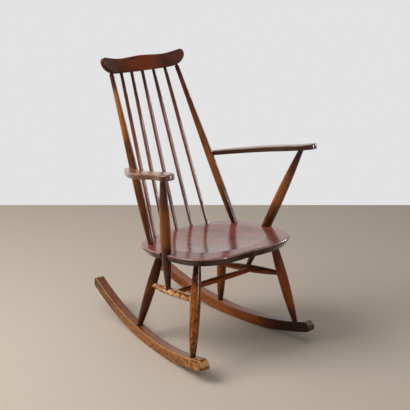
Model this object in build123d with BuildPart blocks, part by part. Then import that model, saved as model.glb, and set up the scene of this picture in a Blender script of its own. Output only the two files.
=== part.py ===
from build123d import *
import os
from math import cos, radians, sin, sqrt, tan

# Stick-back rocking chair with a shaped crest rail, open arms and two bow rockers.
# Millimetres. +Z is up, -Y is the sitter's front, +X is the sitter's left.
# The origin lies on the floor, midway along the rockers.
# "Left" is the sitter's left, +X. The chair is symmetric about X = 0.

# ---- rockers ----
rocker_radius = 1100.0  # of the running edge
rocker_height = 38.0
rocker_width = 34.0
rocker_front_reach = 320.0  # along the rocker, from its lowest point
rocker_back_reach = 441.0
rocker_gap = 374.0  # between the inner faces, beside the lowest point
rocker_toe_out = 6.96  # degrees, wider apart at the front
rocker_tail_round = 14.0  # radius of the tail's upper corner
rocker_nose_round = 22.0  # radius of the nose's upper corner
rocker_nose_lower_round = 12.0
rocker_edge_round = 2.5

# ---- seat ----
seat_width = 468.0
seat_length = 447.0
seat_thickness = 28.0
seat_front_height = 404.0  # top edge at the front, above the floor
seat_front_y = -352.5
seat_tilt = 5.6  # degrees, higher at the front
seat_corner_in = 106.0  # where the front edge starts to turn, from the widest side
seat_corner_back = 7.0  # and from the front edge
seat_shoulder_in = 44.0  # where the front turns into the side
seat_shoulder_back = 43.0
seat_side_in = 9.0
seat_side_back = 100.0
seat_widest_back = 170.0
seat_hip_in = 2.0
seat_hip_up = 136.0  # from the back edge
seat_tail_in = 56.0
seat_tail_up = 47.0
seat_back_out = 112.0  # where the back edge bends, from the middle
seat_back_up = 24.5
seat_dish_width = 372.0
seat_dish_depth = 9.0
seat_dish_back = 232.0  # its middle, from the front edge
seat_top_round = 5.0
seat_bevel_in = 16.0  # of the undercut edge
seat_bevel_up = 20.0

# ---- legs ----
leg_foot_radius = 9.8
leg_belly_radius = 17.6
leg_seat_radius = 12.2
leg_belly_at = 0.545  # share of the way up
front_leg_reach = 243.0  # along the rocker, from its lowest point
rear_leg_reach = 117.0
front_leg_inset = 110.0  # from the seat's front edge, in line with the leg on its top
rear_leg_inset = 116.0  # and from the back edge
front_leg_spread = 326.0  # between the left leg and the right, there too
rear_leg_spread = 267.0
leg_foot_socket = 24.0
leg_foot_neck = 6.0  # straight length above the rocker
leg_seat_neck = 8.0  # and below the seat
leg_seat_socket = 17.0

# ---- stretchers ----
front_stretcher_rise = 179.0  # up the front leg from the rocker
rear_stretcher_rise = 161.0  # and up the rear leg
side_stretcher_belly = 14.2
side_stretcher_end = 8.6
side_stretcher_socket = 13.0
cross_stretcher_belly = 10.8
cross_stretcher_end = 8.0
cross_stretcher_at = 0.47  # share of the side stretcher, from the front
cross_stretcher_socket = 9.0
stretcher_neck = 4.0

# ---- back ----
post_foot_radius = 11.2
post_belly_radius = 14.6
post_waist_radius = 12.4
post_head_radius = 8.0
post_belly_at = 0.28
post_waist_at = 0.58
post_foot_socket = 20.0
post_head_socket = 20.0
post_head_tenon = 4.8
post_head_neck = 2.0  # straight length below the crest rail
post_foot_spread = 378.0
stick_count = 5
stick_foot_radius = 5.9
stick_belly_radius = 7.2
stick_head_radius = 6.1
stick_belly_at = 0.42
stick_foot_socket = 16.0
stick_head_socket = 20.0
stick_feet_step = 18.3  # degrees between neighbours, round the ellipse of their sockets
feet_side_inset = 34.0  # ellipse of the sockets, in from the seat's side
feet_back_inset = 12.0  # and in from its back edge
feet_arc_depth = 152.0  # the ellipse's half-depth

# ---- crest rail ----
crest_length = 357.0
crest_middle_height = 55.5
crest_dip_height = 50.5
crest_dip_out = 100.0  # from the middle
crest_ear_height = 56.5
crest_ear_in = 26.5  # from the end
crest_horn_height = 55.0  # of the rounded corner of an end
crest_horn_in = 5.5
crest_end_height = 42.0  # of the widest point of an end
crest_slant_height = 28.0  # where an end leans in
crest_slant_in = 3.5
crest_corner_height = 11.5
crest_corner_in = 18.5
crest_heel_height = 2.0  # where the lower edge starts to rise
crest_heel_in = 41.5
crest_flat_out = 104.0  # the lower edge is level this far from the middle
crest_thickness = 20.0
crest_radius = 660.0  # of its curve in plan
crest_rake = 20.0  # degrees from upright
crest_bottom_height = 912.0
crest_bottom_y = 273.5
crest_spacing = 48.2  # between neighbouring sockets
crest_edge_round = 3.5

# ---- arms ----
arm_thickness = 18.5
arm_back_height = 620.0  # top face at the post
arm_rise = 11.4  # degrees, higher at the front
arm_reach = 398.0  # level distance from the post to the nose
arm_back_width = 29.0
arm_housing = 4.0  # how far the back post is let into the arm's side
arm_quarter_width = 48.0
arm_middle_width = 56.0
arm_front_width = 52.0
arm_quarter_out = 57.0  # middle of the arm, out from its back end
arm_middle_out = 88.0
arm_front_out = 102.0
arm_nose_out = 116.0
arm_nose_width = 42.0
arm_quarter_run = 105.0  # from the back end
arm_middle_run = 205.0
arm_nose_round = 13.0  # length of the nose's rounding
arm_edge_round = 4.0
arm_corner_round = 6.0  # of the back end's outer corner
arm_post_run = 338.0  # level distance from the back post to the arm post
arm_post_offset = 6.0  # outwards of the arm's middle
arm_post_head_radius = 8.6
arm_post_belly_radius = 17.4
arm_post_foot_radius = 8.6
arm_post_belly_at = 0.385
arm_post_head_socket = 12.0
arm_post_foot_socket = 9.0
arm_post_at = 0.58  # share of the side stretcher, from the front
arm_post_foot_out = 4.0  # outwards of its middle

# ---- screws and plugs ----
screw_radius = 2.0
screw_head_radius = 4.0
screw_head_length = 3.5
arm_screw_length = 34.0
seat_screw_length = 42.0
plug_length = 5.0

# ---- fits ----
socket_clearance = 0.15  # radial, filled by glue
socket_end_gap = 0.6  # beyond the end of a tenon

os.makedirs("parts", exist_ok=True)

outward = Vector(1, 0, 0)  # on the left-hand side

# ---- layout: rockers ----
toe = radians(rocker_toe_out)
rocker_top_radius = rocker_radius - rocker_height
contact = Vector(
    (rocker_gap + rocker_width) / 2,
    (rocker_front_reach - rocker_back_reach) / 2 * cos(toe),
    0,
)
rocker_along = Vector(-sin(toe), cos(toe), 0)  # towards the tail


def rocker_top(reach):
    """Point on the middle of the left rocker's upper edge."""
    rise = rocker_radius - sqrt(rocker_top_radius**2 - reach**2)
    return contact + rocker_along * reach + Vector(0, 0, rise)


# ---- layout: seat ----
tilt = radians(seat_tilt)
seat_up = Vector(0, sin(tilt), cos(tilt))
seat_half = seat_width / 2
seat_back_y = seat_front_y + seat_length * cos(tilt)


def seat_point(x, y):
    """Point on the flat plane of the seat's top."""
    return Vector(x, y, seat_front_height - tan(tilt) * (y - seat_front_y))


seat_plane = Plane(origin=seat_point(0, seat_front_y), x_dir=(1, 0, 0), z_dir=seat_up)
front_leg_top = seat_point(front_leg_spread / 2, seat_front_y + front_leg_inset)
rear_leg_top = seat_point(rear_leg_spread / 2, seat_back_y - rear_leg_inset)

# ---- layout: stretchers ----
front_leg_foot = rocker_top(-front_leg_reach)
rear_leg_foot = rocker_top(rear_leg_reach)


def risen(foot, top, rise):
    """Point on the line from foot to top, at a height above foot."""
    return foot + (top - foot) * (rise / (top.Z - foot.Z))


def shared(start, end, share):
    """Point at a share of the way from start to end."""
    return start + (end - start) * share


stretcher_front = risen(front_leg_foot, front_leg_top, front_stretcher_rise)
stretcher_rear = risen(rear_leg_foot, rear_leg_top, rear_stretcher_rise)
cross_end = shared(stretcher_front, stretcher_rear, cross_stretcher_at)
arm_post_foot = shared(stretcher_front, stretcher_rear, arm_post_at)
arm_post_foot += outward * arm_post_foot_out

# ---- layout: back ----
feet_half_width = seat_half - feet_side_inset
feet_middle_y = seat_back_y - feet_back_inset - feet_arc_depth
rake = radians(crest_rake)
crest_up = Vector(0, sin(rake), cos(rake))
crest_back = Vector(0, cos(rake), -sin(rake))
crest_base = Vector(0, crest_bottom_y, crest_bottom_height)


def back_foot(x):
    """Where a back post or stick stands on the seat."""
    depth = feet_arc_depth * sqrt(1 - (x / feet_half_width) ** 2)
    return seat_point(x, feet_middle_y + depth)


def stick_foot(place):
    """Where a stick stands; place counts from the middle one."""
    return back_foot(feet_half_width * sin(radians(place * stick_feet_step)))


def crest_foot(x):
    """Where a back post or stick meets the crest rail's lower edge."""
    sag = crest_radius - sqrt(crest_radius**2 - x**2)
    return crest_base + Vector(x, 0, 0) - crest_back * sag


post_foot = back_foot(post_foot_spread / 2)
post_head = crest_foot((stick_count + 1) / 2 * crest_spacing)

# ---- layout: arms ----
arm_tilt = radians(arm_rise)
arm_up = Vector(0, sin(arm_tilt), cos(arm_tilt))
arm_forward = Vector(0, -cos(arm_tilt), sin(arm_tilt))
arm_joint = risen(post_foot, post_head, arm_back_height - arm_thickness / 2 - post_foot.Z)
arm_back = Vector(
    arm_joint.X + post_belly_radius - arm_housing + arm_back_width / 2,
    arm_joint.Y,
    arm_back_height,
)
arm_post_head = (
    arm_back
    + outward * (arm_front_out + arm_post_offset)
    + arm_forward * (arm_post_run / cos(arm_tilt))
    - arm_up * arm_thickness
)


# ---- turned work and joints ----
def turned(foot, head, profile, tenons, sockets, necks, grow=0.0):
    """A turning between two surface points, with a tenon beyond each.

    profile holds (share of the way up, radius) pairs from foot to head. tenons,
    sockets and necks hold a foot and a head value: the tenon's radius, how deep it
    goes, and the straight length outside it. grow makes the space that it fits in.
    """
    along = (head - foot).normalized()
    length = (head - foot).length
    side = along.cross(Vector(0, 1, 0)).normalized()
    ends = (-sockets[0], length + sockets[1])
    if grow > 0:
        ends = (ends[0] - socket_end_gap, ends[1] + socket_end_gap)
    start = (profile[0][1] + grow, necks[0])
    stop = (profile[-1][1] + grow, length - necks[1])
    middle = [(radius + grow, share * length) for share, radius in profile[1:-1]]
    lower = tenons[0] + grow
    upper = tenons[1] + grow
    with BuildPart() as piece:
        with BuildSketch(Plane(origin=foot, x_dir=side, z_dir=side.cross(along))):
            with BuildLine():
                Polyline((0, ends[1]), (0, ends[0]), (lower, ends[0]), (lower, -grow))
                if start[0] > lower:
                    Line((lower, -grow), (start[0], -grow))
                Line((start[0], -grow), start)
                Spline(start, *middle, stop)
                Line(stop, (stop[0], length + grow))
                if stop[0] > upper:
                    Line((stop[0], length + grow), (upper, length + grow))
                Polyline((upper, length + grow), (upper, ends[1]), (0, ends[1]))
            make_face()
        revolve(axis=Axis(foot, along))
    return piece.part


def leg(foot, top, grow=0.0):
    """A leg from the rocker into the seat, in line with a point of the seat's top."""
    along = (top - foot).normalized()
    lean = radians(along.get_angle(seat_up))
    underside = top - along * (seat_thickness / cos(lean))
    slant = leg_seat_radius * tan(lean)
    profile = ((0, leg_foot_radius), (leg_belly_at, leg_belly_radius), (1, leg_seat_radius))
    return turned(
        foot,
        underside,
        profile,
        (leg_foot_radius, leg_seat_radius),
        (leg_foot_socket, leg_seat_socket),
        (leg_foot_neck, slant + leg_seat_neck),
        grow,
    )


def side_stretcher(grow=0.0):
    """The left side stretcher, from the front leg to the rear leg."""
    way = (stretcher_rear - stretcher_front).normalized() * leg_belly_radius
    profile = ((0, side_stretcher_end), (0.5, side_stretcher_belly), (1, side_stretcher_end))
    return turned(
        stretcher_front + way,
        stretcher_rear - way,
        profile,
        (side_stretcher_end, side_stretcher_end),
        (side_stretcher_socket, side_stretcher_socket),
        (stretcher_neck, stretcher_neck),
        grow,
    )


def cross_stretcher(grow=0.0):
    """The stretcher across, from one side stretcher to the other."""
    inset = outward * side_stretcher_belly
    right_end = Vector(-cross_end.X, cross_end.Y, cross_end.Z)
    profile = ((0, cross_stretcher_end), (0.5, cross_stretcher_belly), (1, cross_stretcher_end))
    return turned(
        right_end + inset,
        cross_end - inset,
        profile,
        (cross_stretcher_end, cross_stretcher_end),
        (cross_stretcher_socket, cross_stretcher_socket),
        (stretcher_neck, stretcher_neck),
        grow,
    )


def back_post(grow=0.0):
    """The left back post, from the seat to the crest rail."""
    profile = (
        (0, post_foot_radius),
        (post_belly_at, post_belly_radius),
        (post_waist_at, post_waist_radius),
        (1, post_head_radius),
    )
    return turned(
        post_foot,
        post_head,
        profile,
        (post_foot_radius, post_head_tenon),
        (post_foot_socket, post_head_socket),
        (post_foot_radius, post_head_neck),
        grow,
    )


def back_stick(place, grow=0.0):
    """A back stick; place counts from the middle one, negative to the right."""
    profile = (
        (0, stick_foot_radius),
        (stick_belly_at, stick_belly_radius),
        (1, stick_head_radius),
    )
    return turned(
        stick_foot(place),
        crest_foot(place * crest_spacing),
        profile,
        (stick_foot_radius, stick_head_radius),
        (stick_foot_socket, stick_head_socket),
        (stick_foot_radius, stick_head_radius),
        grow,
    )


def arm_post(grow=0.0):
    """The left arm post, from the side stretcher past the seat's edge to the arm."""
    way = (arm_post_head - arm_post_foot).normalized()
    profile = (
        (0, arm_post_foot_radius),
        (arm_post_belly_at, arm_post_belly_radius),
        (1, arm_post_head_radius),
    )
    return turned(
        arm_post_foot + way * side_stretcher_belly,
        arm_post_head,
        profile,
        (arm_post_foot_radius, arm_post_head_radius),
        (arm_post_foot_socket, arm_post_head_socket),
        (stretcher_neck, arm_post_head_radius),
        grow,
    )


def cut(piece, *spaces):
    """The piece without the spaces that others need."""
    with BuildPart() as made:
        add(piece)
        for space in spaces:
            add(space, mode=Mode.SUBTRACT)
    return made.part


def right_of(piece):
    """The right-hand twin of a left-hand piece."""
    with BuildPart() as twin:
        add(piece)
        mirror(about=Plane.YZ, mode=Mode.REPLACE)
    return twin.part


def write(part, name):
    """Labels a finished piece and writes it to its own file."""
    part.label = name
    export_step(part, f"parts/{name}.step")


def write_pair(part, name):
    """Writes a left-hand piece and its right-hand twin."""
    write(part, f"{name}_left")
    write(right_of(part), f"{name}_right")


def group(name, *pieces):
    """Writes like pieces, left and right, as one node of separate solids."""
    with BuildPart() as made:
        for piece in pieces:
            add(piece)
            add(right_of(piece))
    write(made.part, name)


def trimmed(piece, shape):
    """The part of a piece that lies inside another's shape."""
    with BuildPart() as made:
        add(piece)
        add(shape, mode=Mode.INTERSECT)
    return made.part


def countersunk(mouth, way, length, grow=0.0):
    """A countersunk screw, its head one plug's length inside the mouth."""
    head = mouth + way * plug_length
    shank = length - screw_head_length
    with BuildPart() as piece:
        with BuildSketch(Plane(origin=head, z_dir=way)):
            Circle(screw_head_radius + grow)
        with BuildSketch(Plane(origin=head + way * screw_head_length, z_dir=way)):
            Circle(screw_radius + grow)
        loft()
        with BuildSketch(Plane(origin=head + way * screw_head_length, z_dir=way)):
            Circle(screw_radius + grow)
        extrude(amount=shank + grow)
    return piece.part


def plug(mouth, way, grow=0.0):
    """The wooden plug over a screw's head, its outer end trimmed to the wood."""
    with BuildPart() as piece:
        with BuildSketch(Plane(origin=mouth + way * plug_length, z_dir=-way)):
            Circle(screw_head_radius + grow)
        extrude(amount=plug_length + (post_belly_radius if grow > 0 else 0))
    return piece.part


# ---- seat ----
def post_notch():
    """Opens the left arm post's place in the seat's edge towards the outside."""
    way = (arm_post_head - arm_post_foot).normalized()
    middle = risen(arm_post_foot, arm_post_head, seat_front_height - arm_post_foot.Z)
    with BuildPart() as notch:
        with BuildSketch(Plane(origin=middle, x_dir=way, z_dir=way.cross(outward))):
            with Locations((0, seat_half / 2)):
                Rectangle(4 * seat_thickness, seat_half)
        extrude(amount=arm_post_belly_radius + socket_clearance, both=True)
    return notch.part


def seat_blank():
    """The dished board, before its sockets."""
    side = [
        (seat_half - seat_corner_in, seat_corner_back),
        (seat_half - seat_shoulder_in, seat_shoulder_back),
        (seat_half - seat_side_in, seat_side_back),
        (seat_half, seat_widest_back),
        (seat_half - seat_hip_in, seat_length - seat_hip_up),
        (seat_half - seat_tail_in, seat_length - seat_tail_up),
        (seat_back_out, seat_length - seat_back_up),
    ]
    other_side = [(-x, y) for x, y in reversed(side)]
    dish_radius = ((seat_dish_width / 2) ** 2 + seat_dish_depth**2) / (2 * seat_dish_depth)
    dish_plane = seat_plane.offset(dish_radius - seat_dish_depth)
    with BuildPart() as board:
        with BuildSketch(seat_plane):
            with BuildLine():
                Spline((0, 0), *side, (0, seat_length), *other_side, periodic=True)
            make_face()
        extrude(amount=-seat_thickness)
        flats = board.faces().filter_by(seat_plane).sort_by(Axis(seat_plane.origin, seat_up))
        fillet(flats[-1].edges(), seat_top_round)
        flats = board.faces().filter_by(seat_plane).sort_by(Axis(seat_plane.origin, seat_up))
        chamfer(flats[0].edges(), seat_bevel_in, seat_bevel_up, reference=flats[0])
        with Locations(dish_plane * Location((0, seat_dish_back, 0))):
            Sphere(dish_radius, mode=Mode.SUBTRACT)
    return board.part


# ---- rockers ----
def rocker_blank():
    """The left rocker, before its leg sockets: made lying flat, then set upright."""
    upright = Plane(origin=contact, x_dir=rocker_along, z_dir=rocker_along.cross(Vector(0, 0, 1)))

    def running(reach):
        return (reach, rocker_radius - sqrt(rocker_radius**2 - reach**2))

    def upper(reach):
        return (reach, rocker_radius - sqrt(rocker_top_radius**2 - reach**2))

    with BuildPart() as bow:
        with BuildSketch() as outline:
            with BuildLine():
                ThreePointArc(running(-rocker_front_reach), (0, 0), running(rocker_back_reach))
                Line(running(rocker_back_reach), upper(rocker_back_reach))
                ThreePointArc(
                    upper(rocker_back_reach), (0, rocker_height), upper(-rocker_front_reach)
                )
                Line(upper(-rocker_front_reach), running(-rocker_front_reach))
            make_face()
            ends = outline.vertices().sort_by(Axis.X)
            fillet(ends[-2:].sort_by(Axis.Y)[-1], rocker_tail_round)
            nose = outline.vertices().sort_by(Axis.X)[:2]
            fillet(nose.sort_by(Axis.Y)[0], rocker_nose_lower_round)
            nose = outline.vertices().sort_by(Axis.X)[:2]
            fillet(nose.sort_by(Axis.Y)[-1], rocker_nose_round)
        extrude(amount=rocker_width / 2, both=True)
        fillet(bow.faces().filter_by(Plane.XY).edges(), rocker_edge_round)
    return bow.part.moved(upright.location)


# ---- crest rail ----
def crest_blank():
    """The crest rail, before its sockets: a board's outline cut from a curved slab."""
    face_plane = Plane(origin=crest_base, x_dir=(1, 0, 0), z_dir=-crest_back)
    plan_plane = Plane(origin=crest_base, x_dir=(1, 0, 0), z_dir=crest_up)
    half = crest_length / 2
    end = [
        (crest_flat_out / 2, 0),
        (crest_flat_out, 0),
        (half - crest_heel_in, crest_heel_height),
        (half - crest_corner_in, crest_corner_height),
        (half - crest_slant_in, crest_slant_height),
        (half, crest_end_height),
        (half - crest_horn_in, crest_horn_height),
        (half - crest_ear_in, crest_ear_height),
        (crest_dip_out, crest_dip_height),
    ]
    other_end = [(-x, height) for x, height in reversed(end)]
    with BuildPart() as rail:
        with BuildSketch(face_plane):
            with BuildLine():
                Spline((0, 0), *end, (0, crest_middle_height), *other_end, periodic=True)
            make_face()
        extrude(amount=half, both=True)
        with BuildSketch(plan_plane.offset(-crest_thickness)):
            with Locations((0, -crest_radius)):
                Circle(crest_radius + crest_thickness / 2)
                Circle(crest_radius - crest_thickness / 2, mode=Mode.SUBTRACT)
        extrude(amount=crest_middle_height + 2 * crest_thickness, mode=Mode.INTERSECT)
        fillet(rail.edges(), crest_edge_round)
    return rail.part


# ---- arms ----
def arm_blank():
    """The left arm, before it is cut to the posts."""
    plane = Plane(origin=arm_back, x_dir=(1, 0, 0), z_dir=arm_up)
    slope = cos(arm_tilt)
    quarter = -arm_quarter_run / slope
    middle = -arm_middle_run / slope
    front = -arm_post_run / slope
    nose = -arm_reach / slope
    shoulder = nose + arm_nose_round / slope
    with BuildPart() as rest:
        with BuildSketch(plane) as outline:
            with BuildLine():
                Spline(
                    (arm_back_width / 2, 0),
                    (arm_quarter_out + arm_quarter_width / 2, quarter),
                    (arm_middle_out + arm_middle_width / 2, middle),
                    (arm_front_out + arm_front_width / 2, front),
                    (arm_nose_out + arm_nose_width / 2, shoulder),
                    (arm_nose_out, nose),
                    (arm_nose_out - arm_nose_width / 2, shoulder),
                    (arm_front_out - arm_front_width / 2, front),
                    (arm_middle_out - arm_middle_width / 2, middle),
                    (arm_quarter_out - arm_quarter_width / 2, quarter),
                    (-arm_back_width / 2, 0),
                )
                Line((-arm_back_width / 2, 0), (arm_back_width / 2, 0))
            make_face()
            fillet(outline.vertices().sort_by(Axis.X)[-1], arm_corner_round)
        extrude(amount=-arm_thickness)
        fillet(rest.faces().filter_by(plane).edges(), arm_edge_round)
    return rest.part


# ---- pieces ----
clear = socket_clearance
post_blank = back_post()
arm_post_blank = arm_post()
front_leg_blank = leg(front_leg_foot, front_leg_top)
rear_leg_blank = leg(rear_leg_foot, rear_leg_top)

arm_screw_mouth = arm_joint - outward * post_belly_radius
post_at_seat = risen(arm_post_foot, arm_post_head, seat_front_height - arm_post_foot.Z)
seat_screw_height = seat_point(0, post_at_seat.Y).Z - seat_thickness / 2
seat_screw_centre = risen(arm_post_foot, arm_post_head, seat_screw_height - arm_post_foot.Z)
seat_screw_mouth = seat_screw_centre + outward * arm_post_belly_radius

arm_screw = countersunk(arm_screw_mouth, outward, arm_screw_length)
arm_screw_space = countersunk(arm_screw_mouth, outward, arm_screw_length, clear)
arm_plug_space = plug(arm_screw_mouth, outward, clear)
seat_screw = countersunk(seat_screw_mouth, -outward, seat_screw_length)
seat_screw_space = countersunk(seat_screw_mouth, -outward, seat_screw_length, clear)
seat_plug_space = plug(seat_screw_mouth, -outward, clear)

sticks = [number - (stick_count + 1) / 2 for number in range(1, stick_count + 1)]
left_spaces = [
    leg(front_leg_foot, front_leg_top, clear),
    leg(rear_leg_foot, rear_leg_top, clear),
    back_post(clear),
    arm_post(clear),
    post_notch(),
    seat_screw_space,
]
seat_spaces = left_spaces + [right_of(space) for space in left_spaces]
seat_spaces += [back_stick(place, clear) for place in sticks]
write(cut(seat_blank(), *seat_spaces), "seat")

crest_spaces = [back_post(clear), right_of(back_post(clear))]
crest_spaces += [back_stick(place, clear) for place in sticks]
write(cut(crest_blank(), *crest_spaces), "crest_rail")

write_pair(cut(post_blank, arm_screw_space, arm_plug_space), "back_post")
for number, place in enumerate(sticks, start=1):
    write(back_stick(place), f"back_stick_{number}")

arm_spaces = [back_post(clear), arm_post(clear), arm_screw_space]
write_pair(cut(arm_blank(), *arm_spaces), "arm")
write_pair(cut(arm_post_blank, seat_screw_space, seat_plug_space), "arm_post")

for corner, leg_blank in (("front", front_leg_blank), ("rear", rear_leg_blank)):
    write_pair(cut(leg_blank, side_stretcher(clear)), f"{corner}_leg")
write_pair(cut(side_stretcher(), cross_stretcher(clear), arm_post(clear)), "side_stretcher")
write(cross_stretcher(), "cross_stretcher")

rocker_spaces = [
    leg(front_leg_foot, front_leg_top, clear),
    leg(rear_leg_foot, rear_leg_top, clear),
]
write_pair(cut(rocker_blank(), *rocker_spaces), "rocker")

group("arm_screws", arm_screw)
group("seat_edge_screws", seat_screw)
group(
    "screw_plugs",
    trimmed(plug(arm_screw_mouth, outward), post_blank),
    trimmed(plug(seat_screw_mouth, -outward), arm_post_blank),
)
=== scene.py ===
import random
from math import pi, radians, tan

import bpy
import numpy as np
from mathutils import Euler, Matrix, Vector


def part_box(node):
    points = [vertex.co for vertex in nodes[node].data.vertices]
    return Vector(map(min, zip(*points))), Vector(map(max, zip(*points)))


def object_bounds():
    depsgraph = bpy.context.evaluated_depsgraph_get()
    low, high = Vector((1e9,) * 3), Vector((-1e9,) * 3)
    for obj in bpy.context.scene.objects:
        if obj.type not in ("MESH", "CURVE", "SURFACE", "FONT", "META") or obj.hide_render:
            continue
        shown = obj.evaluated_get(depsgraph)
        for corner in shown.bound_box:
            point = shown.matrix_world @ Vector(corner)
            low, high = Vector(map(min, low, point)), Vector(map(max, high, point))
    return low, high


# Looks of a stick-back rocking chair: stained and varnished beech with an elm seat.
# Metres. +Z up, -Y the sitter's front, +X the sitter's left, which is the far side here.

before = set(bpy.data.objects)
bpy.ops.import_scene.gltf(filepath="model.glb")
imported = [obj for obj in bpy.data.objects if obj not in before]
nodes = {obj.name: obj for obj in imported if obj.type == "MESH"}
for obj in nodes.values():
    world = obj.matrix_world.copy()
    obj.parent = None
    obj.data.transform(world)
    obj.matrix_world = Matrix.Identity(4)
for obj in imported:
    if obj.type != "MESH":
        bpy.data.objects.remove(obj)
cad_low, cad_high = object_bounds()

# ---- camera ----
IMAGE_SIDE = 410  # pixels
FOCAL_LENGTH = 1000.0  # pixels
SENSOR = 36.0  # millimetres
CAMERA_PLACE = Vector((-2.1042, -2.63435, 1.5177))
CAMERA_TURN = 39.497  # degrees, to the right of the +Y direction
CAMERA_DIP = 17.255  # degrees below the horizon


def add_camera():
    """The camera stands in front of the chair, on the sitter's right, and looks down a little."""
    camera = bpy.data.objects.new("camera", bpy.data.cameras.new("camera"))
    camera.data.sensor_width = SENSOR
    camera.data.lens = FOCAL_LENGTH / IMAGE_SIDE * SENSOR
    camera.location = CAMERA_PLACE
    camera.rotation_euler = (radians(90 - CAMERA_DIP), 0, radians(-CAMERA_TURN))
    bpy.context.scene.collection.objects.link(camera)
    bpy.context.scene.camera = camera


# ---- shader trees ----
# Sockets of a Mix node, which has a set for each kind of value: these are the colours'.
MIX_SHARE = 0
MIX_FIRST = 6
MIX_SECOND = 7
MIX_RESULT = 2


class Tree:
    """Short calls that add shader nodes to one tree and join them."""

    def __init__(self, owner):
        owner.use_nodes = True
        self.nodes = owner.node_tree.nodes
        self.links = owner.node_tree.links
        self.nodes.clear()

    def feed(self, socket, value):
        """Link the socket to another node's output, or give it a constant."""
        if isinstance(value, bpy.types.NodeSocket):
            self.links.new(value, socket)
        else:
            socket.default_value = value

    def add(self, kind, inputs=None, **settings):
        """A new node with its settings made and its inputs fed."""
        node = self.nodes.new("ShaderNode" + kind)
        for key, value in settings.items():
            setattr(node, key, value)
        for key, value in (inputs or {}).items():
            self.feed(node.inputs[key], value)
        return node

    def show(self, shader, output="OutputMaterial"):
        """Make the shader the one that the tree's owner shows."""
        self.links.new(shader.outputs[0], self.add(output).inputs["Surface"])

    def math(self, operation, first, second=0.0):
        """The result of one operation on one or two numbers."""
        return self.add("Math", {0: first, 1: second}, operation=operation).outputs[0]

    def times(self, first, second):
        """The product of two numbers."""
        return self.math("MULTIPLY", first, second)

    def mix(self, share, first, second, blend="MIX"):
        """The first colour with a share of the second one over it."""
        node = self.add("Mix", data_type="RGBA", blend_type=blend, clamp_factor=True)
        self.feed(node.inputs[MIX_SHARE], share)
        self.feed(node.inputs[MIX_FIRST], first)
        self.feed(node.inputs[MIX_SECOND], second)
        return node.outputs[MIX_RESULT]

    def ease(self, value, low, high, start=0.0, end=1.0):
        """value taken from low..high to start..end, with soft ends."""
        inputs = {"Value": value, "From Min": low, "From Max": high, "To Min": start, "To Max": end}
        return self.add("MapRange", inputs, interpolation_type="SMOOTHSTEP").outputs[0]

    def scaled(self, vector, scale):
        """The vector with each axis scaled."""
        return self.add("Mapping", {"Vector": vector, "Scale": scale}).outputs[0]

    def noise(self, vector, scale, along=1.0, detail=2.0, roughness=0.5):
        """Noise from 0 to 1, drawn out along Z where along is below 1."""
        vector = self.scaled(vector, (1, 1, along))
        inputs = {"Vector": vector, "Scale": scale, "Detail": detail, "Roughness": roughness}
        return self.add("TexNoise", inputs).outputs[0]

    def ramp(self, value, stops):
        """Smooth curve through the stops, pairs of place and height from 0 to 1."""
        node = self.add("ValToRGB", {"Fac": value})
        node.color_ramp.interpolation = "EASE"
        elements = node.color_ramp.elements
        while len(elements) < len(stops):
            elements.new(0.5)
        for element, (place, height) in zip(elements, stops):
            element.position = place
            element.color = (height, height, height, 1)
        return node.outputs[0]


# ---- wood ----
SEED_REACH = 5.0  # how far each piece's patterns may be shifted, so that no two pieces match

# Patterns of noise: scale is how many to the metre, and along how much of that along the grain.
DRIFT = {"along": 0.16}
FIBRE = {"scale": 1500.0, "along": 0.025}
STREAK = {"scale": 260.0, "along": 0.045, "detail": 3.0}
FLECK = {"scale": 620.0, "along": 0.24, "detail": 1.0}
BLOTCH = {"scale": 22.0, "along": 0.33, "detail": 3.0, "roughness": 0.6}
PATCH = {"scale": 34.0, "along": 0.45, "detail": 4.0, "roughness": 0.62}
SPECK = {"along": 0.35, "detail": 4.0, "roughness": 0.7}
RUB = {"scale": 90.0, "along": 0.5, "detail": 5.0, "roughness": 0.7}
SCUFF = {"scale": 105.0, "along": 0.6, "detail": 5.0, "roughness": 0.7}

# The levels of a pattern, or of a zone's warmth, at which an effect starts and is full.
RING_EDGE = (0.0, 0.16)
FLECK_STEP = (0.62, 0.72)
THIN_STEP = (0.30, 0.62)
WARM_STEP = (0.15, 0.85)
DEEP_STEP = (0.22, 0.0)
SPECK_STEP = (0.47, 0.60)
PORE_STEP = (0.50, 0.68)
SCUFF_DARK_STEP = (0.50, 0.60)
SCUFF_BARE_STEP = (0.47, 0.40)

# The same for how far a surface looks up, from 0 for a side to 1 for a top: where sides take painted
# shade, where tops take their own colour, a painted sheen on the far rocker, and where arrises wear.
SHADED_SIDE_STEP = (0.80, 0.35)
TOP_SHEEN_AND_TONE_STEP = (0.75, 0.88)
ARRIS_FROM_SIDE = (0.08, 0.24)
ARRIS_FROM_TOP = (0.92, 0.78)

# Levels of a pattern or of a zone's warmth, from low to high, and what they become, from start to end.
STREAK_BRIGHTNESS = {"low": 0.30, "high": 0.70, "start": 0.80, "end": 1.22}
STREAK_ROUGHNESS = {"low": 0.25, "high": 0.75, "start": 0.26, "end": 0.44}
# How much of the tops' own colour, a painted sheen on the far rocker, each zone takes.
TOP_SHEEN_AND_TONE_BY_ZONE = {"low": 0.05, "high": 0.4, "start": 0.2, "end": 0.7}
RUB_ARRIS_SHARE = {"low": 0.30, "high": 0.55, "start": 0.35, "end": 1.0}

LATE_WOOD_POWER = 3.0  # how late in a growth ring its wood turns dark
DEEP_SHARE = 0.75
PORE_SHARE = 0.35
BARE_START = 0.80  # the rub from which a piece with no worn_share is bare
BARE_SPREAD = 0.55  # how far a worn_share of 1 lowers that
BARE_WIDTH = 0.12
BARE_FLECK_SHARE = 0.7

SPECULAR = 0.05
BARE_ROUGHNESS = 0.16  # added where the wood is bare
RELIEF_STRENGTH = 0.35
RELIEF_DEPTH = 0.00025
FIBRE_RELIEF = 0.5
RING_RELIEF = 0.5
FLECK_RELIEF = 0.25

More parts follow.
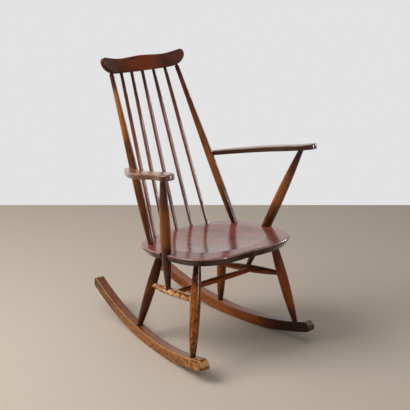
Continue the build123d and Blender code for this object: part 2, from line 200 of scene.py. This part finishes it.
WOOD = {
    "ring": 0.0028,  # from one growth ring to the next
    "ring_share": 0.45,  # how dark the rings are
    "heart": 0.07,  # from the piece's middle to the tree's heart
    "drift": 0.022,  # how far the rings wander
    "drift_scale": 16.0,  # and how many times to the metre
    "zones": ((0.0, 0.3), (1.0, 0.3)),  # place along the grain and warmth there
    "mottle": 1.2,  # how much the patches change the warmth
    "speck_scale": 190.0,  # specks to the metre
    "side_share": 0.9,  # how much painted shade the sides take
    "worn_share": 0.0,  # how much is rubbed bare in spots
    "edge_share": 0.0,  # and along the arrises
    "coat": 0.75,
    "coat_ior": 1.34,
    "coat_roughness": 0.06,
}


class Wood(Tree):
    """The shader tree of one piece of stained, varnished wood, and the patterns that its layers share.

    look names the finish as WOOD does, with the colours dark, mid, warm and worn. It may also name
    side_stain, a colour that paints shade on the sides, and top_stain, a colour of the tops that is a
    painted sheen on the far rocker and a darker top on the near one; speck_share; scuffs, pairs of
    place along the grain and share; and heart_angle, the side on which the tree's heart lies.
    """

    def __init__(self, name, place, turn, length, look):
        self.material = bpy.data.materials.new(name)
        super().__init__(self.material)
        self.look = look
        rng = random.Random(name)
        shift = tuple(rng.uniform(-SEED_REACH, SEED_REACH) for _ in range(3))
        any_angle = rng.uniform(0, 2 * pi)
        self.heart_angle = look.get("heart_angle", any_angle)

        position = self.add("TexCoord").outputs["Object"]
        inputs = {"Vector": position, "Location": place, "Rotation": turn}
        self.local = self.add("Mapping", inputs, vector_type="TEXTURE").outputs[0]
        self.seeded = self.add("Mapping", {"Vector": self.local, "Location": shift}).outputs[0]
        from_middle = self.add("SeparateXYZ", {0: self.local}).outputs["Z"]
        self.along = self.math("ADD", self.math("DIVIDE", from_middle, length), 0.5)
        self.upward = self.add("SeparateXYZ", {0: self.add("NewGeometry").outputs["Normal"]}).outputs["Z"]

        self.fibre = self.noise(self.seeded, **FIBRE)
        self.streak = self.noise(self.seeded, **STREAK)
        self.fleck = self.ease(self.noise(self.seeded, **FLECK), *FLECK_STEP)

    def centred(self, pattern, reach):
        """The pattern about 0, reach wide in all."""
        return self.times(self.math("SUBTRACT", pattern, 0.5), reach)

    def darken(self, colour, where, share):
        """The colour with a share of the dark stain over it."""
        return self.mix(self.times(where, share), colour, self.look["dark"])

    def rings(self):
        """Growth rings round the tree's heart: each rises to 1, its dark late wood, and ends at once."""
        drift = self.noise(self.seeded, self.look["drift_scale"], **DRIFT)
        drift = self.centred(drift, self.look["drift"])
        heart = Euler((0, 0, self.heart_angle)).to_matrix() @ Vector((self.look["heart"], 0, 0))
        inputs = {"Vector": self.local, "Location": heart, "Scale": (1, 1, 0)}
        from_heart = self.add("Mapping", inputs).outputs[0]
        radius = self.add("VectorMath", {0: from_heart}, operation="LENGTH").outputs["Value"]
        radius = self.math("ADD", radius, drift)
        phase = self.math("FRACT", self.math("DIVIDE", radius, self.look["ring"]))
        late = self.math("POWER", phase, LATE_WOOD_POWER)
        return self.times(late, self.ease(phase, *RING_EDGE))

    def stain(self, ring):
        """The stained wood: blotches, warm and deep zones, specks, rings, pores and streaks; then painted
        shade on the sides, and the tops' own colour, a painted sheen on the far rocker.
        """
        look = self.look
        thin = self.ease(self.noise(self.seeded, **BLOTCH), *THIN_STEP)
        colour = self.mix(thin, look["dark"], look["mid"])
        zone = self.ramp(self.along, look["zones"])
        mottle = self.centred(self.noise(self.seeded, **PATCH), look["mottle"])
        warm = self.ease(self.math("ADD", zone, mottle), *WARM_STEP)
        colour = self.mix(warm, colour, look["warm"])
        # Low zones turn to the dark stain; at the front-facing noses of the near arm and the far rocker
        # this is partly painted shade.
        colour = self.darken(colour, self.ease(zone, *DEEP_STEP), DEEP_SHARE)
        if "speck_share" in look:
            speck = self.noise(self.seeded, look["speck_scale"], **SPECK)
            colour = self.darken(colour, self.ease(speck, *SPECK_STEP), look["speck_share"])
        colour = self.darken(colour, ring, look["ring_share"])
        colour = self.darken(colour, self.ease(self.fibre, *PORE_STEP), PORE_SHARE)
        colour = self.mix(1.0, colour, self.ease(self.streak, **STREAK_BRIGHTNESS), "MULTIPLY")
        # Painted shade: faces that look sideways or down take a darker colour.
        if "side_stain" in look:
            side = self.times(self.ease(self.upward, *SHADED_SIDE_STEP), look["side_share"])
            colour = self.mix(side, colour, look["side_stain"])
        # The tops take a colour of their own: a painted sheen on the far rocker, a darker top on the near
        # one.
        if "top_stain" in look:
            top = self.times(self.ease(self.upward, *TOP_SHEEN_AND_TONE_STEP), self.ease(zone, **TOP_SHEEN_AND_TONE_BY_ZONE))
            colour = self.mix(top, colour, look["top_stain"])
        return colour

    def wear(self, colour):
        """The colour with its scuffed and bare places, and how bare each place is."""
        look = self.look
        rub = self.noise(self.seeded, **RUB)
        bare_from = BARE_START - BARE_SPREAD * look["worn_share"]
        bare = self.ease(rub, bare_from, bare_from + BARE_WIDTH)
        if "scuffs" in look:
            share = self.ramp(self.along, look["scuffs"])
            scuff = self.noise(self.seeded, **SCUFF)
            colour = self.darken(colour, share, self.ease(scuff, *SCUFF_DARK_STEP))
            scuffed_bare = self.times(share, self.ease(scuff, *SCUFF_BARE_STEP))
            bare = self.math("MAXIMUM", bare, scuffed_bare)
        off_side = self.ease(self.upward, *ARRIS_FROM_SIDE)
        off_top = self.ease(self.upward, *ARRIS_FROM_TOP)
        arris = self.times(self.times(off_side, off_top), look["edge_share"])
        arris = self.times(arris, self.ease(rub, **RUB_ARRIS_SHARE))
        bare = self.math("MAXIMUM", bare, arris)
        worn = self.mix(self.times(self.fleck, BARE_FLECK_SHARE), look["worn"], look["mid"])
        return self.mix(bare, colour, worn), bare

    def varnish(self, colour, bare, ring):
        """The surface: a fine relief of fibres, rings and flecks under a clear coat."""
        rough = self.ease(self.streak, **STREAK_ROUGHNESS)
        rough = self.math("ADD", rough, self.times(bare, BARE_ROUGHNESS))
        height = self.math("ADD", self.times(self.fibre, FIBRE_RELIEF), self.times(ring, RING_RELIEF))
        height = self.math("SUBTRACT", height, self.times(self.fleck, FLECK_RELIEF))
        relief = {"Height": height, "Strength": RELIEF_STRENGTH, "Distance": RELIEF_DEPTH}
        inputs = {
            "Base Color": colour,
            "Roughness": rough,
            "Normal": self.add("Bump", relief).outputs[0],
            "Specular IOR Level": SPECULAR,
            "Coat Weight": self.look["coat"],
            "Coat IOR": self.look["coat_ior"],
            "Coat Roughness": self.look["coat_roughness"],
        }
        self.show(self.add("BsdfPrincipled", inputs))


def wood(name, place, turn, length, look):
    """The material of one piece: place, its middle, and turn lay its grain, length long, along Z."""
    tree = Wood(name, place, turn, length, look)
    ring = tree.rings()
    colour, bare = tree.wear(tree.stain(ring))
    tree.varnish(colour, bare, ring)
    return tree.material


def dress(name, material):
    """Give a node its only material."""
    nodes[name].data.materials.clear()
    nodes[name].data.materials.append(material)


# ---- frame ----
BEECH = {
    **WOOD,
    "dark": (0.034, 0.0070, 0.0022, 1),
    "mid": (0.140, 0.030, 0.008, 1),
    "warm": (0.34, 0.100, 0.014, 1),
    "worn": (0.60, 0.34, 0.17, 1),
}
# What each piece changes of the beech's look. Zones run up, back or towards the sitter's left.
FRAME_LOOKS = {
    "crest_rail": {
        "zones": ((0.08, 0.10), (0.5, 0.62), (0.92, 0.10)),
        "mottle": 0.5,
        "dark": (0.045, 0.006, 0.003, 1),
        "mid": (0.155, 0.022, 0.009, 1),
        "warm": (0.32, 0.058, 0.010, 1),
        "edge_share": 0.06,
        "coat": 0.14,
    },
    "back_post": {
        "zones": ((0.05, 0.1), (0.35, 0.8), (0.6, 0.45), (0.85, 0.3), (1.0, 0.0)),
        "warm": (0.31, 0.098, 0.022, 1),
    },
    "back_post_right": {
        "zones": ((0.05, 0.1), (0.3, 0.3), (0.55, 0.35), (0.70, 0.95), (0.84, 0.9), (0.93, 0.0)),
        "warm": (0.36, 0.112, 0.018, 1),
    },
    "back_stick": {
        "zones": ((0.0, 0.25), (0.5, 0.6), (0.78, 0.4), (0.92, 0.0)),
        "mottle": 0.4,
        "dark": (0.055, 0.014, 0.009, 1),
        "mid": (0.18, 0.038, 0.016, 1),
        "warm": (0.35, 0.090, 0.028, 1),
        "coat": 1.0,
        "coat_ior": 1.5,
    },
    "arm": {
        "zones": ((0.0, 0.1), (0.5, 0.3)),
        # A pale pinkish mid, which the tops show: partly a painted sheen there.
        "mid": (0.23, 0.110, 0.075, 1),
        # Painted shade on the arm's sides.
        "side_stain": (0.040, 0.011, 0.005, 1),
        "worn": (0.50, 0.33, 0.25, 1),
        "edge_share": 0.2,
        "coat": 1.0,
        "coat_ior": 1.5,
        "coat_roughness": 0.2,
    },
    "arm_right": {
        # Dark at the nose: partly painted shade on the end that faces front.
        "zones": ((0.0, 0.0), (0.08, 0.0), (0.25, 0.6), (1.0, 0.8)),
        "mid": (0.22, 0.088, 0.048, 1),
        # Painted shade on the arm's sides.
        "side_stain": (0.080, 0.024, 0.010, 1),
        "side_share": 0.8,
        "worn": (0.52, 0.29, 0.19, 1),
        "worn_share": 0.45,
        "edge_share": 0.5,
        "coat": 1.0,
        "coat_ior": 1.38,
        "coat_roughness": 0.2,
    },
    "arm_post": {
        "zones": ((0.0, 0.15), (0.48, 0.3), (0.62, 0.95), (0.75, 0.6), (0.88, 0.1), (1.0, 0.0)),
        "coat": 1.0,
        "coat_ior": 1.5,
    },
    "arm_post_right": {
        "zones": ((0.0, 0.05), (0.35, 0.15), (0.5, 0.95), (0.65, 0.9), (0.85, 0.3), (1.0, 0.05)),
    },
    "front_leg": {
        "zones": ((0.0, 0.3), (0.5, 0.9), (0.85, 0.35), (1.0, 0.0)),
        "warm": (0.37, 0.075, 0.007, 1),
        "coat": 0.5,
    },
    "front_leg_right": {
        "zones": ((0.0, 0.2), (0.2, 0.75), (0.65, 0.95), (0.88, 0.0)),
        "warm": (0.42, 0.125, 0.018, 1),
        "speck_share": 0.85,
        "worn": (0.62, 0.27, 0.06, 1),
        "worn_share": 0.4,
        "coat": 0.45,
    },
    "rear_leg": {"zones": ((0.0, 0.1), (0.5, 0.7), (1.0, 0.2)), "warm": (0.36, 0.090, 0.012, 1)},
    "rear_leg_right": {"zones": ((0.0, 0.0), (0.5, 0.22), (0.9, 0.0)), "coat": 0.5},
    "side_stretcher": {"zones": ((0.0, 0.5), (1.0, 0.8))},
    "side_stretcher_right": {
        "zones": ((0.0, 0.7), (1.0, 0.9)),
        "speck_share": 0.8,
        "speck_scale": 230.0,
        "worn": (0.82, 0.44, 0.21, 1),
        "worn_share": 0.61,
    },
    "cross_stretcher": {
        "zones": ((0.0, 0.7), (1.0, 0.8)),
        "warm": (0.42, 0.085, 0.012, 1),
        "coat": 0.3,
    },
    "rocker": {
        # Dark at the noses: partly painted shade on the front ends.
        "zones": ((0.0, 0.0), (0.16, 0.05), (0.45, 0.8), (1.0, 0.6)),
        "dark": (0.022, 0.005, 0.002, 1),
        "warm": (0.40, 0.105, 0.018, 1),
        # A pale mauve painted sheen on the top.
        "top_stain": (0.31, 0.110, 0.060, 1),
        "speck_share": 0.3,
        "edge_share": 0.12,
        "worn_share": 0.1,
        "coat": 0.7,
        "coat_ior": 1.45,
        "coat_roughness": 0.22,
    },
    "rocker_right": {
        "zones": ((0.0, 1.0), (0.15, 0.8), (0.55, 0.85), (0.85, 0.45), (1.0, 0.3)),
        "warm": (0.50, 0.160, 0.020, 1),
        # A darker colour on the top.
        "top_stain": (0.16, 0.048, 0.022, 1),
        "scuffs": ((0.06, 0.7), (0.22, 0.0)),
        "speck_share": 0.8,
        "speck_scale": 240.0,
        "worn": (0.66, 0.35, 0.11, 1),
        "edge_share": 0.9,
        "worn_share": 0.35,
        "coat": 0.8,
        "coat_roughness": 0.2,
    },
    "screw_plugs": {},
}
FAR_END = Vector((0.3, 0.6, 1.0))  # the grain's far end is the one that lies further this way


def look_of(name):
    """The finish of a node: the beech's own, with what the longest matching name changes."""
    matching = [key for key in FRAME_LOOKS if name.startswith(key)]
    return {**BEECH, **FRAME_LOOKS[max(matching, key=len)]}


def grain_frame(name):
    """Middle of a node, the turn that lays its grain, the longest axis, along Z, and its length."""
    points = np.empty(len(nodes[name].data.vertices) * 3)
    nodes[name].data.vertices.foreach_get("co", points)
    points = points.reshape(-1, 3)
    low, high = points.min(axis=0), points.max(axis=0)
    middle = (low + high) / 2
    axes = np.linalg.eigh(np.cov((points - middle).T))[1].T[::-1]
    along = Vector(axes[0])
    if along.dot(FAR_END) < 0:
        along = -along
    across = Vector(axes[1])
    turn = Matrix((across, along.cross(across), along)).transposed()
    reach = (points - middle) @ np.array(along)
    return Vector(middle), turn.to_euler(), reach.max() - reach.min()


def dress_frame():
    """Each piece of beech has a material of its own, so that its grain follows it."""
    for name in nodes:
        if name != "seat" and "screws" not in name:
            dress(name, wood(f"beech_{name}", *grain_frame(name), look_of(name)))


# ---- seat ----
SEAT_TILT = 5.6  # degrees by which the front is up
GRAIN_DIP = 13.0  # degrees by which the grain dips in the board towards the front
ELM = {
    **WOOD,
    "dark": (0.10, 0.018, 0.010, 1),
    "mid": (0.27, 0.068, 0.043, 1),
    "warm": (0.45, 0.140, 0.090, 1),
    "worn": (0.56, 0.38, 0.31, 1),
    # Painted shade on the seat's edge and underside.
    "side_stain": (0.040, 0.008, 0.003, 1),
    "side_share": 1.0,
    "zones": ((0.0, 0.5), (1.0, 0.3)),
    "mottle": 1.0,
    "ring": 0.0075,
    "ring_share": 0.85,
    "heart": 0.05,
    "heart_angle": radians(84),
    "drift": 0.016,
    "drift_scale": 8.0,
    # Pale along the top arris: wear, and in part a painted highlight on the lip.
    "edge_share": 0.6,
    "coat": 1.0,
    "coat_ior": 1.42,
    "coat_roughness": 0.14,
}


def dress_seat():
    """Elm with its grain from front to back, sawn from above the tree's heart."""
    low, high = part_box("seat")
    place = (Vector(low) + Vector(high)) / 2
    turn = Euler((radians(90 - SEAT_TILT + GRAIN_DIP), 0, 0))
    dress("seat", wood("elm_seat", place, turn, high[1] - low[1], ELM))


# ---- screws ----
STEEL = (0.56, 0.55, 0.53, 1)
DULL_STEEL = (0.30, 0.28, 0.26, 1)
DULL_SPOT = {"scale": 900.0, "detail": 4.0}
DULL_STEP = (0.5, 0.7)
TOOL_MARK = {"scale": 160.0}
TOOL_MARK_SCALE = (40, 1, 1)  # the screws lie more or less along X
STEEL_ROUGHNESS = {"low": 0.3, "high": 0.7, "start": 0.25, "end": 0.5}


def dress_screws():
    """Turned steel: fine rings of the tool round each screw, and a few dull spots."""
    material = bpy.data.materials.new("screw_steel")
    tree = Tree(material)
    position = tree.add("TexCoord").outputs["Object"]
    marks = tree.noise(tree.scaled(position, TOOL_MARK_SCALE), **TOOL_MARK)
    dull = tree.ease(tree.noise(position, **DULL_SPOT), *DULL_STEP)
    inputs = {
        "Base Color": tree.mix(dull, STEEL, DULL_STEEL),
        "Metallic": 1.0,
        "Roughness": tree.ease(marks, **STEEL_ROUGHNESS),
    }
    tree.show(tree.add("BsdfPrincipled", inputs))
    for name in ("arm_screws", "seat_edge_screws"):
        dress(name, material)


# ---- floor ----
FLOOR_COLOUR = (0.63, 0.545, 0.455, 1)
FLOOR_ROUGHNESS = 0.9
FLOOR_SPECULAR = 0.2
FLOOR_REACH = 9.0  # how far the floor goes, except beyond the chair
AHEAD = Matrix.Rotation(radians(-CAMERA_TURN), 3, "Z") @ Vector((0, 1, 0))
ASIDE = Matrix.Rotation(radians(-CAMERA_TURN), 3, "Z") @ Vector((1, 0, 0))


def make_floor():
    """A plain floor that ends in a straight line behind the chair, as at the foot of a wall."""
    below_camera = Vector((CAMERA_PLACE.x, CAMERA_PLACE.y, 0))
    far_edge = below_camera + AHEAD * (CAMERA_PLACE.z / tan(radians(CAMERA_DIP)))
    near_edge = far_edge - AHEAD * 2 * FLOOR_REACH
    side = ASIDE * FLOOR_REACH
    corners = [near_edge - side, near_edge + side, far_edge + side, far_edge - side]
    mesh = bpy.data.meshes.new("floor")
    mesh.from_pydata([tuple(corner) for corner in corners], [], [(0, 1, 2, 3)])
    material = bpy.data.materials.new("floor")
    tree = Tree(material)
    inputs = {
        "Base Color": FLOOR_COLOUR,
        "Roughness": FLOOR_ROUGHNESS,
        "Specular IOR Level": FLOOR_SPECULAR,
    }
    tree.show(tree.add("BsdfPrincipled", inputs))
    mesh.materials.append(material)
    floor = bpy.data.objects.new("floor", mesh)
    bpy.context.scene.collection.objects.link(floor)
    return floor


# ---- light and backdrop ----
BACKDROP_COLOUR = (0.765, 0.765, 0.765, 1)
AMBIENT_COLOUR = (0.18, 0.18, 0.18, 1)
MIRRORED_WALL = {"low": 0.1, "high": 0.7, "start": 0.12, "end": 0.78}
KEY_COLOUR = (1.0, 0.98, 0.95)


def softbox(name, azimuth, elevation, distance, size, power, lights=True, mirrored=True):
    """A rectangular lamp that looks at the chair's middle, and may only light or only be mirrored.

    azimuth is in degrees from the sitter's front towards the sitter's left.
    """
    lamp = bpy.data.lights.new(name, "AREA")
    lamp.shape = "RECTANGLE"
    lamp.size, lamp.size_y = size
    lamp.energy = power
    towards = Euler((radians(-elevation), 0, radians(azimuth))).to_matrix() @ Vector((0, -1, 0))
    box = bpy.data.objects.new(name, lamp)
    box.location = (cad_low + cad_high) / 2 + towards * distance
    box.rotation_euler = towards.to_track_quat("Z", "Y").to_euler()
    box.visible_diffuse = lights
    box.visible_glossy = mirrored
    bpy.context.scene.collection.objects.link(box)
    return lamp


def add_lamps():
    """A warm lamp at the sitter's right, a soft one above, and two that only draw highlights."""
    key = softbox("key", azimuth=-112, elevation=40, distance=3.2, size=(2.0, 2.0), power=85)
    key.color = KEY_COLOUR
    softbox("top", azimuth=-60, elevation=75, distance=3.0, size=(2.4, 2.4), power=26, mirrored=False)
    softbox("strip", azimuth=8, elevation=14, distance=6.0, size=(0.9, 3.0), power=330, lights=False)
    softbox("slit", azimuth=82, elevation=14, distance=6.0, size=(0.5, 3.6), power=230, lights=False)


def add_backdrop():
    """Dim light from all round, a pale wall that the camera sees, and its pale side in reflections."""
    world = bpy.data.worlds.new("backdrop")
    bpy.context.scene.world = world
    tree = Tree(world)
    inputs = {0: tree.add("TexCoord").outputs["Generated"], 1: AHEAD}
    towards_wall = tree.add("VectorMath", inputs, operation="DOT_PRODUCT").outputs["Value"]
    ray = tree.add("LightPath").outputs
    mirrored = tree.ease(towards_wall, **MIRRORED_WALL)
    level = tree.mix(ray["Is Glossy Ray"], AMBIENT_COLOUR, mirrored)
    level = tree.mix(ray["Is Camera Ray"], level, BACKDROP_COLOUR)
    tree.show(tree.add("Background", {"Color": level, "Strength": 1.0}), "OutputWorld")


add_camera()
dress_frame()
dress_seat()
dress_screws()
floor = make_floor()
add_lamps()
add_backdrop()
bpy.context.scene.view_settings.view_transform = "Standard"
